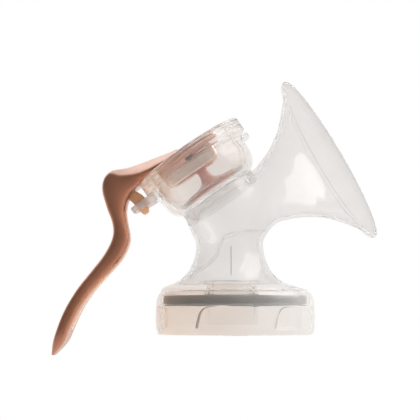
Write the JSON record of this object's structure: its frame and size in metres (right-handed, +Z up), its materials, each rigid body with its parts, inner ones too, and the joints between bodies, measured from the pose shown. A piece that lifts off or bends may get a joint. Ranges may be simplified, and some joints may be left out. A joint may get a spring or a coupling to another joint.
{
  "type": "manual breast pump",
  "caption": "Manual breast pump: clear shield and body on a bottle collar, with a silicone diaphragm worked by a curved squeeze handle.",
  "frame": {"origin": "centre of the bottle collar's mouth, on the collar's axis", "axes": "+Z up along the collar's axis, towards the body; +X towards the breast shield; the handle is on the -X side"},
  "size_m": [0.1359, 0.0764, 0.1147],
  "materials": {
    "clear_plastic": "clear moulded polypropylene",
    "collar_plastic": "hazy moulded polypropylene",
    "clear_silicone": "translucent silicone",
    "grey_silicone": "matt grey-green silicone",
    "tinted_silicone": "translucent silicone",
    "stem_plastic": "moulded, orange-red",
    "rose_gold": "satin metallic rose gold",
    "peach_plastic": "satin peach",
    "pin_plastic": "natural acetal"
  },
  "bodies": {
    "pump_body": {"breast_shield": "clear_plastic", "pump_body": "clear_plastic", "bottle_collar": "collar_plastic", "flow_divider": "clear_plastic", "bottle_seal_ring": "grey_silicone", "valve_seat": "clear_plastic", "duckbill_valve": "clear_silicone", "housing_bowl": "clear_plastic", "locking_flange": "clear_plastic", "handle_bracket": "clear_plastic", "housing_seal_ring": "clear_silicone", "diaphragm_rim": "clear_silicone", "hinge_pin": "pin_plastic"},
    "handle": {"handle_shell": "rose_gold", "handle_liner": "peach_plastic", "handle_hook": "rose_gold"},
    "stem": {"diaphragm": "tinted_silicone", "stem_foot": "stem_plastic", "stem_shaft": "stem_plastic", "stem_crossbar": "peach_plastic"}
  },
  "joints": [
    {"name": "handle_squeeze", "type": "hinge", "parent": "pump_body", "child": "handle", "pos_m": [-0.03881, 0, 0.05395], "axis": [0, -1, 0], "range_deg": [0, 18], "stiffness_Nm_per_rad": 0.5, "springref_deg": -5.73},
    {"name": "stem_lift", "type": "slide", "parent": "pump_body", "child": "stem", "axis": [-0.5707, 0, 0.8211], "range_m": [0, 0.00973], "deforming": ["diaphragm"]}
  ],
  "couplings": [
    {"joint": "handle_squeeze", "follows": "stem_lift", "rad_per_m": 32.258}
  ]
}
